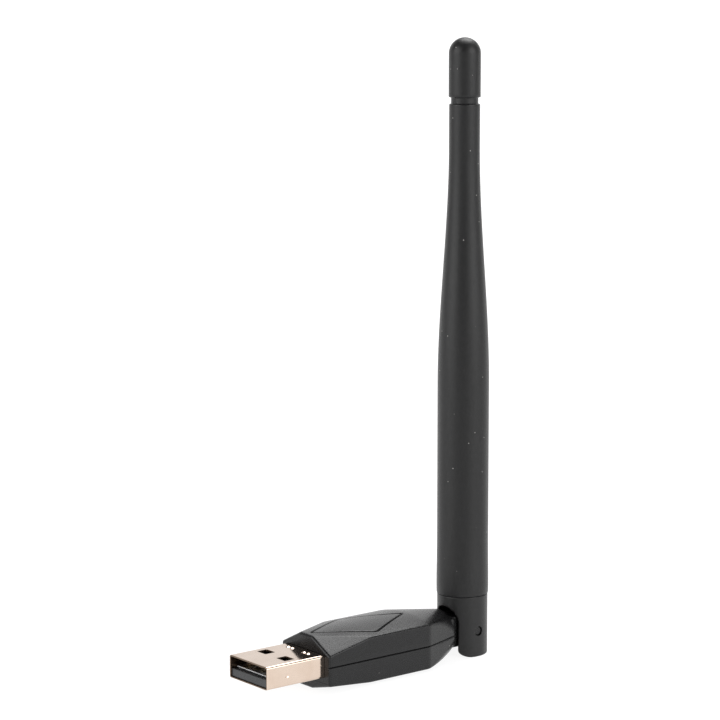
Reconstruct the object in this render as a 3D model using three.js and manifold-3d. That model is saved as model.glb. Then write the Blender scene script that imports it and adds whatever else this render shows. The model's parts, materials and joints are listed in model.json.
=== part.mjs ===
// USB wireless network adapter with a folding, turning whip antenna.
// Millimetres. +Z is up, +X runs from the USB plug's mouth towards the hinge, and the part stands on Z = 0.
import * as THREE from "three";
import { ConvexGeometry } from "three/addons/geometries/ConvexGeometry.js";
import { mergeVertices } from "three/addons/utils/BufferGeometryUtils.js";
import Module from "manifold-3d";

// ---- driving dimensions: X is measured from the plug's mouth, Z from the plug's mid height ----
const floorZ = -5.17; // the surface that the part stands on
const overallLength = 58.87;

const plugWidth = 12.0; // USB type A, standard
const plugHeight = 4.5; // USB type A, standard
const plugLength = 18.7;
const plugWall = 0.3;
const plugCorner = 0.55;
const plugWindowX = 6.53;
const plugWindowY = 3.09;
const plugWindowSize = [2.32, 2.76];
const tongueTop = -0.1;
const tongueFront = 0.3;
const tongueLipLength = 1.2;
const tongueLipDrop = 0.3;
const contactBlockFront = 12.2; // where the insulator fills the shell's whole height
const contactWidth = 1.0;
const contactThickness = 0.2;
const contactRear = 21.0;

const frontX = 13.65; // the housing's front face
const facetX = 24.3; // where the corner facets end and the housing is at full section
const taperX = 38.7; // where the rear taper starts
const collarX = 47.75; // the round rear end
const collarRadius = 4.6;
const halfWidth = 7.6;
const crownTop = 5.35;
const crownRadius = 32.2;
const footHalfWidth = 1.8; // the flat strip that the housing rests on
const footRiseShare = 0.6; // how far the underside rises at its sides, against the crown's fall
const frontTopHalfWidth = 1.76;
const frontTopZ = 5.22;
const frontShoulderZ = 2.24;
const frontCheekZ = -3.67;
const wall = 1.3;
const shoulderWallShare = 0.4; // the wall's share taken off the front's sloping edges
const cheekWallShare = 0.7;
const rearWall = 2.3;
const seamGap = 0.12;
const boreRadius = 2.35;

const inlayCentreX = 26.45;
const inlayHalfLength = 11.45;
const inlayHalfWidth = 5.95;
const inlayCorner = 0.5;
const inlayFloor = 4.42;
const inlayGroove = 0.2;

const boardFront = 18.95;
const boardRear = 40.4;
const boardHalfWidth = 5.3;
const boardTop = -0.1;
const boardThickness = 1.0;
const postRadius = 1.3;
const pegRadius = 0.7;
const posts = [
  [22.6, 4.1],
  [38.4, -3.6],
];

const pinX = 53.62; // the tilt hinge's axis, along Y
const pinZ = 0.1;
const pinRadius = 0.88;
const pinHoleRadius = 0.98;
const pinInnerEnd = 1.2;
const pinOuterEnd = 4.6;
const shaftRadius = 2.2;
const flangeRadius = 2.9;
const neckRear = 49.0;
const neckHalfWidth = 2.95;
const neckHalfHeight = 3.0;
const neckCorner = 0.5;
const knuckleHalfWidth = 2.7;
const knuckleRadius = 3.2;
const channelRadius = 0.9;

const forkRadius = 5.1;
const slotHalfWidth = 3.12;
const slotTop = 5.1;
const slotCorner = 3.0;
const slotDepthPastPin = 3.6;
const forkRounding = 5.7; // about the pin, so that the fork clears the collar as it folds
const forkTop = 7.2;
const forkReach = 8; // past the fork on every side, for the shapes that trim it
const spigotRadius = 4.05;
const spigotTop = 12.2;

const sheathBottom = 7.32;
const sheathRadius = 5.16;
const sheathFoot = [
  [5.21, sheathBottom],
  [5.25, 9.6],
  [5.2, 13.7],
  [5.16, 18],
]; // radius and height: a slight swelling above the seam
const sheathTipRadius = 3.06;
const sheathTaper = [50, 97];
const sheathTop = 118.6;
const sheathCapRadius = 3.16; // of the tip past its ring groove
const ringGroove = [105.55, 106.95, 2.69];
const sheathWall = 0.95;
const sheathBoreTop = 100;

const coaxRadius = 0.55;
const coaxLift = 0.5;
const sleeveSpan = [34, 60];
const coaxTop = 61;
const radiatorTop = 92;

const arcSteps = 32;

// ---- materials ----
const finish = (colour, roughness, metalness) => () =>
  new THREE.MeshStandardMaterial({ color: colour, roughness, metalness });
const blackPlastic = finish("#2b2b2c", 0.6, 0);
const antennaPlastic = finish("#303031", 0.65, 0);
const plugMetal = finish("#dccdbb", 0.22, 1);
const contactGold = finish("#d8b25a", 0.25, 1);
const tonguePlastic = finish("#4b4b4e", 0.5, 0);
const boardGreen = finish("#1f5a3a", 0.5, 0);
const chipBlack = finish("#1b1b1d", 0.5, 0);
const canSilver = finish("#b9bcc0", 0.35, 1);
const ceramicTan = finish("#a98f6d", 0.6, 0);
const lensClear = finish("#e4efe2", 0.2, 0);
const cableJacket = finish("#1c1c1e", 0.5, 0);
const brass = finish("#c19a4b", 0.3, 1);
const copper = finish("#b9744a", 0.35, 1);

// ---- solids: three.js shapes, joined and cut with manifold-3d ----
const wasm = await Module();
wasm.setup();

function solidOf(geometry) {
  const bare = geometry.clone();
  bare.deleteAttribute("normal");
  bare.deleteAttribute("uv");
  const merged = mergeVertices(bare, 1e-4);
  const mesh = new wasm.Mesh({
    numProp: 3,
    vertProperties: new Float32Array(merged.attributes.position.array),
    triVerts: new Uint32Array(merged.index.array),
  });
  return new wasm.Manifold(mesh);
}

function geometryOf(solid) {
  const { vertProperties, triVerts } = solid.getMesh();
  const geometry = new THREE.BufferGeometry();
  geometry.setAttribute("position", new THREE.BufferAttribute(vertProperties, 3));
  geometry.setIndex(new THREE.BufferAttribute(triVerts, 1));
  const faceted = geometry.toNonIndexed();
  faceted.computeVertexNormals();
  return faceted;
}

function box(sizeX, sizeY, sizeZ, x, y, z) {
  return new THREE.BoxGeometry(sizeX, sizeY, sizeZ).translate(x, y, z);
}

// A box given by its lowest and highest corners.
function boxBetween(low, high) {
  const size = high.map((value, i) => value - low[i]);
  const centre = high.map((value, i) => (value + low[i]) / 2);
  return box(...size, ...centre);
}

function rodAlongX(radius, fromX, toX, steps = arcSteps) {
  const rod = new THREE.CylinderGeometry(radius, radius, toX - fromX, steps);
  return rod.rotateZ(-Math.PI / 2).translate((fromX + toX) / 2, 0, 0);
}

function rodAlongPin(radius, fromY, toY) {
  const rod = new THREE.CylinderGeometry(radius, radius, toY - fromY, 20);
  return rod.translate(pinX, (fromY + toY) / 2, pinZ);
}

function rodAlongZ(radius, fromZ, toZ, x, y, steps = arcSteps) {
  const rod = new THREE.CylinderGeometry(radius, radius, toZ - fromZ, steps);
  return rod.rotateX(Math.PI / 2).translate(x, y, (fromZ + toZ) / 2);
}

const extrudeOptions = (depth, curveSegments) => ({ depth, bevelEnabled: false, curveSegments });

// A shape drawn in Y and Z, extruded along X.
function extrudeAlongX(shape, fromX, toX, curveSegments = 4) {
  const turn = new THREE.Matrix4().makeBasis(
    new THREE.Vector3(0, 1, 0),
    new THREE.Vector3(0, 0, 1),
    new THREE.Vector3(1, 0, 0),
  );
  const geometry = new THREE.ExtrudeGeometry(shape, extrudeOptions(toX - fromX, curveSegments));
  return geometry.applyMatrix4(turn).translate(fromX, 0, 0);
}

// A shape drawn in X and Z, extruded along Y.
function extrudeAlongY(shape, fromY, toY, curveSegments = 12) {
  const geometry = new THREE.ExtrudeGeometry(shape, extrudeOptions(toY - fromY, curveSegments));
  return geometry.rotateX(Math.PI / 2).translate(0, toY, 0);
}

function roundedRectangle(outline, width, height, radius, centreY = 0) {
  const x = width / 2 - radius;
  const y = height / 2 - radius;
  outline.absarc(x, centreY + y, radius, 0, Math.PI / 2);
  outline.absarc(-x, centreY + y, radius, Math.PI / 2, Math.PI);
  outline.absarc(-x, centreY - y, radius, Math.PI, Math.PI * 1.5);
  outline.absarc(x, centreY - y, radius, Math.PI * 1.5, Math.PI * 2);
  return outline;
}

function piece(name, geometry, material) {
  const mesh = new THREE.Mesh(geometry, material());
  mesh.name = name;
  return mesh;
}

// ---- housing ----
const crownHeight = (y) => crownTop - crownRadius + Math.sqrt(crownRadius ** 2 - y ** 2);

// One full cross-section at x: a crowned top, upright sides, and a crowned underside with a flat strip.
function fullSection(x, inset) {
  const side = halfWidth - inset;
  const points = [];
  for (let i = -4; i <= 4; i += 1) {
    const y = (side * i) / 4;
    points.push(new THREE.Vector3(x, y, crownHeight(y) - inset));
  }
  for (const half of [footHalfWidth, (footHalfWidth + side) / 2, side]) {
    const rise = half === footHalfWidth ? 0 : (crownTop - crownHeight(half)) * footRiseShare;
    points.push(new THREE.Vector3(x, half, floorZ + inset + rise));
    points.push(new THREE.Vector3(x, -half, floorZ + inset + rise));
  }
  return points;
}

// The front face: narrow flat top and bottom, sloping shoulders, upright cheeks.
function frontSection(inset) {
  const x = frontX + inset;
  const side = halfWidth - inset;
  const corners = [
    [frontTopHalfWidth, frontTopZ - inset],
    [side, frontShoulderZ - inset * shoulderWallShare],
    [side, frontCheekZ + inset * cheekWallShare],
    [footHalfWidth, floorZ + inset],
  ];
  return corners.flatMap(([y, z]) => [new THREE.Vector3(x, y, z), new THREE.Vector3(x, -y, z)]);
}

function ringSection(x, radius) {
  const points = [];
  for (let i = 0; i < arcSteps; i += 1) {
    const angle = (2 * Math.PI * i) / arcSteps;
    points.push(new THREE.Vector3(x, radius * Math.cos(angle), radius * Math.sin(angle)));
  }
  return points;
}

// The convex body of the housing, or of the space inside it when inset is the wall.
function housingBody(inset, rearInset) {
  return new ConvexGeometry([
    ...frontSection(inset),
    ...fullSection(facetX, inset),
    ...fullSection(taperX, inset),
    ...ringSection(collarX - rearInset, collarRadius - inset),
  ]);
}

function inlayOutline(grow) {
  const halfLength = inlayHalfLength + grow * 2;
  const halfWide = inlayHalfWidth + grow * 1.1;
  const corners = [
    [halfLength, 0],
    [0, halfWide],
    [-halfLength, 0],
    [0, -halfWide],
  ];
  const outline = new THREE.Shape();
  corners.forEach(([x, y], i) => {
    const before = corners[(i + 3) % 4];
    const after = corners[(i + 1) % 4];
    const share = (inlayCorner * 2) / Math.hypot(x - before[0], y - before[1]);
    const from = [x + (before[0] - x) * share, y + (before[1] - y) * share];
    const to = [x + (after[0] - x) * share, y + (after[1] - y) * share];
    if (i === 0) outline.moveTo(...from);
    else outline.lineTo(...from);
    outline.quadraticCurveTo(x, y, ...to);
  });
  return outline;
}

function inlayPrism(grow, fromZ, toZ) {
  const geometry = new THREE.ExtrudeGeometry(inlayOutline(grow), extrudeOptions(toZ - fromZ, 3));
  return geometry.translate(inlayCentreX, 0, fromZ);
}

function housingShells() {
  const plugSection = [plugWidth + 0.24, plugHeight + 0.24, plugCorner + 0.1];
  const plugOpening = roundedRectangle(new THREE.Shape(), ...plugSection);
  const shell = solidOf(housingBody(0, 0))
    .subtract(solidOf(housingBody(wall, rearWall)))
    .subtract(solidOf(extrudeAlongX(plugOpening, frontX - 1, plugLength + 0.15, 3)))
    .subtract(solidOf(rodAlongX(boreRadius, collarX - rearWall - 1, collarX + 1)));
  const upperHalf = solidOf(boxBetween([0, -20, seamGap / 2], [60, 20, 20]));
  const lowerHalf = solidOf(boxBetween([0, -20, -20], [60, 20, -seamGap / 2]));
  let top = shell.intersect(upperHalf).subtract(solidOf(inlayPrism(inlayGroove, inlayFloor, 8)));
  let bottom = shell.intersect(lowerHalf);
  for (const [x, y] of posts) {
    top = top
      .add(solidOf(rodAlongZ(postRadius, boardTop + 0.4, 4.2, x, y, 16)))
      .subtract(solidOf(rodAlongZ(pegRadius + 0.12, -1, 2, x, y, 12)));
    bottom = bottom
      .add(solidOf(rodAlongZ(postRadius, -4.0, boardTop - boardThickness - 0.02, x, y, 16)))
      .add(solidOf(rodAlongZ(pegRadius, -3, 1.4, x, y, 12)));
  }
  return [
    piece("housing_top_shell", geometryOf(top), blackPlastic),
    piece("housing_bottom_shell", geometryOf(bottom), blackPlastic),
  ];
}

function topInlayPlate() {
  const plate = solidOf(inlayPrism(0, inlayFloor + 0.03, 8)).intersect(solidOf(housingBody(0, 0)));
  return piece("top_inlay_plate", geometryOf(plate), blackPlastic);
}

// ---- USB plug ----
function usbPlugShell() {
  const section = roundedRectangle(new THREE.Shape(), plugWidth, plugHeight, plugCorner);
  const inside = new THREE.Path();
  const innerWidth = plugWidth - 2 * plugWall;
  const innerHeight = plugHeight - 2 * plugWall;
  roundedRectangle(inside, innerWidth, innerHeight, plugCorner - plugWall + 0.05);
  section.holes.push(inside);
  let shell = solidOf(extrudeAlongX(section, 0, plugLength, 3));
  for (const side of [-1, 1]) {
    const [sizeX, sizeY] = plugWindowSize;
    const windowCut = box(sizeX, sizeY, plugHeight + 2, plugWindowX, side * plugWindowY, 0);
    shell = shell.subtract(solidOf(windowCut));
  }
  return piece("usb_plug_shell", geometryOf(shell), plugMetal);
}

const contactPlaces = [
  ["usb_contact_ground", 3.5, 1.55],
  ["usb_contact_data_plus", 1.0, 2.55],
  ["usb_contact_data_minus", -1.0, 2.55],
  ["usb_contact_vbus", -3.5, 1.55],
];

// A tongue along the lower half of the mouth, and a full-height block behind it for the contacts.
function usbInsulator() {
  const halfWide = plugWidth / 2 - plugWall - 0.05;
  const bottom = -plugHeight / 2 + plugWall + 0.03;
  const lipTop = tongueTop - tongueLipDrop;
  const profile = new THREE.Shape();
  profile.moveTo(tongueFront, bottom);
  profile.lineTo(plugLength - 0.1, bottom);
  profile.lineTo(plugLength - 0.1, -bottom);
  profile.lineTo(contactBlockFront, -bottom);
  profile.lineTo(contactBlockFront, tongueTop);
  profile.lineTo(tongueFront + tongueLipLength, tongueTop);
  profile.lineTo(tongueFront + tongueLipLength, lipTop);
  profile.lineTo(tongueFront, lipTop);
  const fit = roundedRectangle(new THREE.Shape(), 2 * halfWide, -2 * bottom, plugCorner - plugWall + 0.1);
  let body = solidOf(extrudeAlongY(profile, -halfWide, halfWide));
  body = body.intersect(solidOf(extrudeAlongX(fit, 0, plugLength, 3)));
  for (const [, y] of contactPlaces) {
    const reach = contactWidth / 2 + 0.1;
    const from = [contactBlockFront - 0.5, y - reach, tongueTop];
    const channel = boxBetween(from, [plugLength + 1, y + reach, tongueTop + 0.35]);
    body = body.subtract(solidOf(channel));
  }
  return piece("usb_insulator", geometryOf(body), tonguePlastic);
}

// A flat strip on the tongue with a sprung bow near its front end and a tail on the circuit board.
function usbContact([name, y, front]) {
  const base = tongueTop;
  const rise = contactThickness;
  const profile = new THREE.Shape();
  profile.moveTo(front, base);
  profile.lineTo(contactRear, base);
  profile.lineTo(contactRear, base + rise);
  profile.lineTo(front + 2.6, base + rise);
  profile.quadraticCurveTo(front + 1.5, base + rise * 2.6, front + 0.4, base + rise);
  profile.lineTo(front, base + rise * 0.4);
  const geometry = extrudeAlongY(profile, y - contactWidth / 2, y + contactWidth / 2, 4);
  return piece(name, geometry, contactGold);
}

// ---- circuit board and what is soldered to it ----
function circuitBoard() {
  const outline = new THREE.Shape();
  const chamfer = 1.6;
  outline.moveTo(boardFront, -boardHalfWidth);
  outline.lineTo(boardRear - chamfer, -boardHalfWidth);
  outline.lineTo(boardRear, -boardHalfWidth + chamfer);
  outline.lineTo(boardRear, boardHalfWidth - chamfer);
  outline.lineTo(boardRear - chamfer, boardHalfWidth);
  outline.lineTo(boardFront, boardHalfWidth);
  for (const [x, y] of posts) {
    const hole = new THREE.Path();
    hole.absarc(x, y, pegRadius + 0.15, 0, Math.PI * 2);
    outline.holes.push(hole);
  }
  const geometry = new THREE.ExtrudeGeometry(outline, extrudeOptions(boardThickness, 12));
  geometry.translate(0, 0, boardTop - boardThickness);
  return piece("circuit_board", geometry, boardGreen);
}

// name, length along X, width along Y, height, centre x, centre y, material
const components = [
  ["wifi_chip", 5.0, 5.0, 0.85, 30.4, 0.2, chipBlack],
  ["crystal_oscillator", 2.5, 3.2, 0.75, 25.6, 1.6, canSilver],
  ["voltage_regulator", 1.7, 2.9, 1.1, 25.4, -2.9, chipBlack],
  ["power_inductor", 2.5, 2.0, 1.2, 29.0, -4.1, chipBlack],
  ["status_led", 0.8, 1.6, 0.6, 36.2, 3.6, lensClear],
  ["capacitor_1", 1.6, 0.8, 0.8, 32.6, -4.2, ceramicTan],
  ["capacitor_2", 0.8, 1.6, 0.8, 22.6, -3.9, ceramicTan],
  ["capacitor_3", 1.6, 0.8, 0.8, 29.6, 4.1, ceramicTan],
  ["capacitor_4", 0.8, 1.6, 0.8, 34.9, -1.2, ceramicTan],
  ["resistor_1", 1.6, 0.8, 0.45, 32.6, 4.1, chipBlack],
  ["resistor_2", 1.6, 0.8, 0.45, 22.6, 0.6, chipBlack],
  ["resistor_3", 0.8, 1.6, 0.45, 36.6, 0.9, chipBlack],
];

// A package standing on the board, its top edges taken in slightly.
function component([name, length, width, height, x, y, material]) {
  const taper = 0.08;
  const corners = [];
  for (const [z, shrink] of [
    [0, 0],
    [height * 0.7, 0],
    [height, taper],
  ]) {
    for (const sideX of [-1, 1]) {
      for (const sideY of [-1, 1]) {
        const cornerX = sideX * (length / 2 - shrink);
        const cornerY = sideY * (width / 2 - shrink);
        corners.push(new THREE.Vector3(cornerX, cornerY, z));
      }
    }
  }
  const mesh = piece(name, new ConvexGeometry(corners), material);
  mesh.position.set(x, y, boardTop + 0.02);
  return mesh;
}

// ---- coaxial cable: one rigid stretch in each body that it crosses ----
function coaxSection() {
  const section = new THREE.Shape();
  section.absarc(0, 0, coaxRadius, 0, Math.PI * 2);
  return section;
}

function coaxInHousing() {
  const route = new THREE.CatmullRomCurve3([
    new THREE.Vector3(38.2, 1.6, coaxLift),
    new THREE.Vector3(39.8, 1.5, coaxLift),
    new THREE.Vector3(41.6, 0.5, coaxLift * 0.7),
    new THREE.Vector3(42.8, 0.05, 0.1),
    new THREE.Vector3(43.9, 0, 0),
  ]);
  const geometry = new THREE.ExtrudeGeometry(coaxSection(), {
    steps: 14,
    curveSegments: 5,
    bevelEnabled: false,
    extrudePath: route,
  });
  return piece("coax_in_housing", geometry, cableJacket);
}

// ---- swivel: a hollow shaft through the collar, a neck, and the knuckle that carries the pins ----
function swivelKnuckle() {
  const neck = roundedRectangle(new THREE.Shape(), 2 * neckHalfWidth, 2 * neckHalfHeight, neckCorner, pinZ);
  const profile = new THREE.Shape();
  profile.moveTo(neckRear - 0.3, pinZ - knuckleRadius);
  profile.absarc(pinX, pinZ, knuckleRadius, -Math.PI / 2, Math.PI / 2);
  profile.lineTo(neckRear - 0.3, pinZ + knuckleRadius);
  let body = solidOf(rodAlongX(shaftRadius, collarX - rearWall - 1.3, collarX + 0.5))
    .add(solidOf(rodAlongX(flangeRadius, collarX - rearWall - 1.2, collarX - rearWall - 0.25)))
    .add(solidOf(extrudeAlongX(neck, collarX + 0.15, neckRear, 3)))
    .add(solidOf(extrudeAlongY(profile, -knuckleHalfWidth, knuckleHalfWidth)));
  const channel = boxBetween([pinX - 3.0, -channelRadius, -channelRadius], [pinX + 5, channelRadius, 5]);
  body = body
    .subtract(solidOf(rodAlongX(channelRadius, 40, pinX, 16)))
    .subtract(solidOf(channel))
    .subtract(solidOf(rodAlongPin(pinRadius + 0.03, -5, 5)));
  return piece("swivel_knuckle", geometryOf(body), blackPlastic);
}

function hingePin(name, side) {
  const ends = [side * pinInnerEnd, side * pinOuterEnd].sort((a, b) => a - b);
  return piece(name, rodAlongPin(pinRadius, ...ends), blackPlastic);
}

function coaxInSwivel() {
  const geometry = rodAlongX(coaxRadius, collarX - rearWall - 1.3, pinX - 1.4, 10);
  return piece("coax_in_swivel", geometry, cableJacket);
}

// ---- antenna ----
// The fork seen along the hinge: round below the pin on the housing's side, square on the other.
function forkProfile() {
  const footAngle = Math.PI + Math.asin((pinZ - floorZ) / forkRounding);
  const profile = new THREE.Shape();
  profile.moveTo(pinX + forkReach, floorZ);
  profile.lineTo(pinX + forkReach, spigotTop + 1);
  profile.lineTo(pinX - forkReach, spigotTop + 1);
  profile.lineTo(pinX - forkReach, pinZ);
  profile.absarc(pinX, pinZ, forkRounding, Math.PI, footAngle);
  return profile;
}

function forkSlot() {
  const outline = new THREE.Shape();
  const corner = slotHalfWidth - slotCorner;
  outline.moveTo(-slotHalfWidth, floorZ - 2);
  outline.lineTo(slotHalfWidth, floorZ - 2);
  outline.absarc(corner, slotTop - slotCorner, slotCorner, 0, Math.PI / 2);
  outline.absarc(-corner, slotTop - slotCorner, slotCorner, Math.PI / 2, Math.PI);
  return extrudeAlongX(outline, pinX - forkReach, pinX + slotDepthPastPin, 6);
}

function antennaFork() {
  const body = solidOf(rodAlongZ(forkRadius, floorZ, forkTop, pinX, 0, arcSteps + 8))
    .add(solidOf(rodAlongZ(spigotRadius, forkTop - 1, spigotTop, pinX, 0)))
    .intersect(solidOf(extrudeAlongY(forkProfile(), -forkReach, forkReach)))
    .subtract(solidOf(forkSlot()))
    .subtract(solidOf(rodAlongZ(channelRadius, 0, spigotTop + 1, pinX, 0, 16)))
    .subtract(solidOf(rodAlongPin(pinHoleRadius, -forkReach, forkReach)));
  return piece("antenna_fork", geometryOf(body), antennaPlastic);
}

const sheathRadiusAt = (z) => {
  const share = THREE.MathUtils.smoothstep(z, ...sheathTaper);
  return THREE.MathUtils.lerp(sheathRadius, sheathTipRadius, share);
};

// One closed profile: up the outside, over the domed tip, and down the bore that opens at the bottom.
function antennaSheath() {
  const [grooveLow, grooveHigh, grooveRadius] = ringGroove;
  const domeZ = sheathTop - sheathCapRadius;
  const outside = sheathFoot.map(([radius, z]) => new THREE.Vector2(radius, z));
  const bore = [];
  const taperSteps = 14;
  for (let i = 0; i <= taperSteps; i += 1) {
    const z = THREE.MathUtils.lerp(...sheathTaper, i / taperSteps);
    outside.push(new THREE.Vector2(sheathRadiusAt(z), z));
    bore.push(new THREE.Vector2(sheathRadiusAt(z) - sheathWall, z));
  }
  outside.push(new THREE.Vector2(sheathTipRadius, grooveLow));
  outside.push(new THREE.Vector2(grooveRadius, grooveLow + 0.1));
  outside.push(new THREE.Vector2(grooveRadius, grooveHigh - 0.1));
  outside.push(new THREE.Vector2(sheathCapRadius, grooveHigh));
  for (let i = 0; i <= 6; i += 1) {
    const angle = (Math.PI / 2) * (i / 6);
    const radius = i === 6 ? 0 : sheathCapRadius * Math.cos(angle);
    outside.push(new THREE.Vector2(radius, domeZ + sheathCapRadius * Math.sin(angle)));
  }
  bore.push(new THREE.Vector2(sheathTipRadius - sheathWall, sheathBoreTop));
  bore.push(new THREE.Vector2(0, sheathBoreTop));
  bore.reverse();
  const mouth = new THREE.Vector2(spigotRadius + 0.12, sheathBottom);
  const mouthTop = new THREE.Vector2(spigotRadius + 0.12, sheathTaper[0] - 1);
  const profile = [...outside, ...bore, mouthTop, mouth, outside[0].clone()];
  const geometry = new THREE.LatheGeometry(profile, arcSteps);
  geometry.rotateX(Math.PI / 2).translate(pinX, 0, 0);
  return piece("antenna_sheath", geometry, antennaPlastic);
}

function coaxInAntenna() {
  return piece("coax_in_antenna", rodAlongZ(coaxRadius, slotTop + 0.3, coaxTop, pinX, 0, 12), cableJacket);
}

// The lower half of the dipole: a tube closed at its top onto the cable's braid.
function radiatorSleeve() {
  const [low, high] = sleeveSpan;
  const profile = [
    [1.65, low],
    [1.95, low],
    [1.95, high],
    [coaxRadius + 0.06, high],
    [coaxRadius + 0.06, high - 0.5],
    [1.65, high - 0.5],
    [1.65, low],
  ].map(([radius, z]) => new THREE.Vector2(radius, z));
  const geometry = new THREE.LatheGeometry(profile, 20);
  geometry.rotateX(Math.PI / 2).translate(pinX, 0, 0);
  return piece("radiator_sleeve", geometry, brass);
}

function radiatingElement() {
  const geometry = rodAlongZ(0.4, coaxTop + 0.02, radiatorTop, pinX, 0, 10);
  return piece("radiating_element", geometry, copper);
}

// ---- the whole adapter ----
const dongle = new THREE.Group();
dongle.add(
  ...housingShells(),
  topInlayPlate(),
  usbPlugShell(),
  usbInsulator(),
  ...contactPlaces.map(usbContact),
  circuitBoard(),
  ...components.map(component),
  coaxInHousing(),
);

const swivel = new THREE.Group();
swivel.add(
  swivelKnuckle(),
  hingePin("hinge_pin_near", -1),
  hingePin("hinge_pin_far", 1),
  coaxInSwivel(),
);

const antenna = new THREE.Group();
antenna.add(antennaFork(), antennaSheath(), coaxInAntenna(), radiatorSleeve(), radiatingElement());

const standing = new THREE.Group();
standing.add(dongle, swivel, antenna);
standing.position.set(-overallLength / 2, 0, -floorZ);

const adapter = new THREE.Group();
adapter.add(standing);

export default adapter;
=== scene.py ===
"""USB wireless adapter with a folding whip antenna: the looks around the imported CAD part.

Shapes are drawn in millimetres from the plug's mouth (X), the middle plane (Y) and the plug's mid height (Z),
and settle() moves each finished mesh into the row frame, in metres.
"""
import json
import math

import bmesh
import bpy
import numpy as np
from mathutils import Matrix, Vector


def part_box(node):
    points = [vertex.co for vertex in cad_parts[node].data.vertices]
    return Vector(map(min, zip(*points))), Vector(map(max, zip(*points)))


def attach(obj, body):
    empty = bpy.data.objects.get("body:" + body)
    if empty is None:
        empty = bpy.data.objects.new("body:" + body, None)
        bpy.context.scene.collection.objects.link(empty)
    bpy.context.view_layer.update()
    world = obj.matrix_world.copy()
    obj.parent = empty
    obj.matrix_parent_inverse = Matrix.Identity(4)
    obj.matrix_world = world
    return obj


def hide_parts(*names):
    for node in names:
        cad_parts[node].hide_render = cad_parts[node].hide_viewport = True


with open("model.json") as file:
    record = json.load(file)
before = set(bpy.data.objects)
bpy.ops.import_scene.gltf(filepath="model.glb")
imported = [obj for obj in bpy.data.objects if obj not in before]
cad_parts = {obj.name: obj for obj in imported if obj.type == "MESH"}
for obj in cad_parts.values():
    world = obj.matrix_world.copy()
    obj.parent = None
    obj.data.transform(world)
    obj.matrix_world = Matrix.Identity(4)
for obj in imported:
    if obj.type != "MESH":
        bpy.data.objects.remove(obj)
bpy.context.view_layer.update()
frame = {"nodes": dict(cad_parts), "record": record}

# ---- where the CAD says things are ----
MM = 0.001
plug_low, plug_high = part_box("usb_plug_shell")
ORIGIN = Vector((plug_low.x, 0.0, (plug_low.z + plug_high.z) / 2))


def box_mm(node):
    """A CAD node's lowest and highest corners, in the millimetres that the shapes are drawn in."""
    low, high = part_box(node)
    return (np.array(low) - np.array(ORIGIN)) / MM, (np.array(high) - np.array(ORIGIN)) / MM


_, PLUG_HIGH = box_mm("usb_plug_shell")
TOP_LOW, TOP_HIGH = box_mm("housing_top_shell")
BASE_LOW, _ = box_mm("housing_bottom_shell")
INLAY_LOW, INLAY_HIGH = box_mm("top_inlay_plate")
TONGUE_LOW, TONGUE_HIGH = box_mm("usb_insulator")
KNUCKLE_LOW, KNUCKLE_HIGH = box_mm("swivel_knuckle")
FORK_LOW, FORK_HIGH = box_mm("antenna_fork")
SHEATH_LOW, SHEATH_HIGH = box_mm("antenna_sheath")
PIN_LOW, PIN_HIGH = box_mm("hinge_pin_near")

FLOOR_Z = BASE_LOW[2]
FRONT_X, COLLAR_X = TOP_LOW[0], TOP_HIGH[0]
HALF_WIDTH = TOP_HIGH[1]
CROWN_TOP = TOP_HIGH[2]
SEAM_Z = TOP_LOW[2]
PIN_X, PIN_Z = (PIN_LOW[0] + PIN_HIGH[0]) / 2, (PIN_LOW[2] + PIN_HIGH[2]) / 2


# ---- mesh helpers ----
ROD_STEPS, LATHE_STEPS, PIN_STEPS = 64, 128, 40  # sides of the round shapes


def new_object(name, verts, faces):
    mesh = bpy.data.meshes.new(name)
    mesh.from_pydata([tuple(map(float, v)) for v in verts], [], [tuple(map(int, f)) for f in faces])
    mesh.validate()
    mesh.update()
    obj = bpy.data.objects.new(name, mesh)
    bpy.context.scene.collection.objects.link(obj)
    return obj


def face_outwards(obj):
    bm = bmesh.new()
    bm.from_mesh(obj.data)
    bmesh.ops.recalc_face_normals(bm, faces=bm.faces)
    bm.to_mesh(obj.data)
    bm.free()
    return obj


def bake(obj):
    """Applies every modifier."""
    bpy.context.view_layer.update()
    graph = bpy.context.evaluated_depsgraph_get()
    mesh = bpy.data.meshes.new_from_object(obj.evaluated_get(graph))
    obj.modifiers.clear()
    old, obj.data = obj.data, mesh
    bpy.data.meshes.remove(old)


def cut(obj, tool):
    """Takes the tool away from the object."""
    modifier = obj.modifiers.new("cut", "BOOLEAN")
    modifier.object = tool
    modifier.operation = "DIFFERENCE"
    modifier.solver = "EXACT"
    bake(obj)
    bpy.data.objects.remove(tool)


def settle(obj, sharp=30.0, weighted=True):
    """Shades the finished mesh, and moves it from drawing millimetres to metres in the row frame."""
    obj.data.transform(Matrix.Translation(ORIGIN) @ Matrix.Scale(MM, 4))
    obj.data.polygons.foreach_set("use_smooth", np.ones(len(obj.data.polygons), bool))
    obj.data.set_sharp_from_angle(angle=math.radians(sharp))
    if weighted:
        modifier = obj.modifiers.new("normals", "WEIGHTED_NORMAL")
        modifier.mode = "FACE_AREA"
        modifier.keep_sharp = True
        bake(obj)
    obj.data.update()
    return obj


def closed_loft(name, loops):
    """Closed loops of equal length, joined one to the next, with a face over each end."""
    count = len(loops[0])
    verts = np.concatenate(loops)
    faces = []
    for i in range(len(loops) - 1):
        for j in range(count):
            a, b = i * count + j, i * count + (j + 1) % count
            faces.append((a, b, b + count, a + count))
    faces.append(tuple(range(count))[::-1])
    last = (len(loops) - 1) * count
    faces.append(tuple(range(last, last + count)))
    return face_outwards(new_object(name, verts, faces))


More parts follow.
